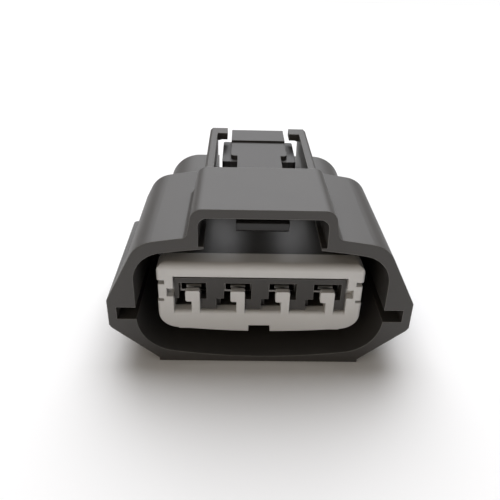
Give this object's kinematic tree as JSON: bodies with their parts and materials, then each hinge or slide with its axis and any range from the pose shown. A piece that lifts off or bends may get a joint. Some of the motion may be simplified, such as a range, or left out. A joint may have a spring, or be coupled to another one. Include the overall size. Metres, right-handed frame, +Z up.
{
  "type": "sealed automotive connector",
  "caption": "Sealed in-line wire plug with a shrouded mating face, one row of female contacts, a guarded rocking latch and a sliding front holder.",
  "frame": {"origin": "middle of the overall width and length, on the flat base", "axes": "+X across the contact row, +Y from the mating face to the wires, +Z up through the latch"},
  "size_m": [0.03, 0.0274, 0.0173],
  "materials": {
    "housing": "fine moulded dark warm grey",
    "latch": "fine moulded dark warm grey",
    "holder": "fine moulded light grey",
    "face_seal": "smooth silicone, dark grey",
    "contact": "bright tin plate",
    "wire_seal": "smooth silicone, blue grey"
  },
  "bodies": {
    "housing": {"outer_housing": "housing", "perimeter_seal": "face_seal", "terminal_1": "contact", "terminal_2": "contact", "terminal_3": "contact", "terminal_4": "contact", "wire_seal_1": "wire_seal", "wire_seal_2": "wire_seal", "wire_seal_3": "wire_seal", "wire_seal_4": "wire_seal"},
    "latch": {"latch_lever": "latch"},
    "holder": {"front_holder": "holder"}
  },
  "joints": [
    {"name": "latch_rock", "type": "hinge", "parent": "housing", "child": "latch", "pos_m": [0, 0.0015, 0.01329], "axis": [-1, 0, 0], "range_deg": [0, 4], "stiffness_Nm_per_rad": 0.3},
    {"name": "holder_slide", "type": "slide", "parent": "housing", "child": "holder", "axis": [0, -1, 0], "range_m": [0, 0.002]}
  ]
}
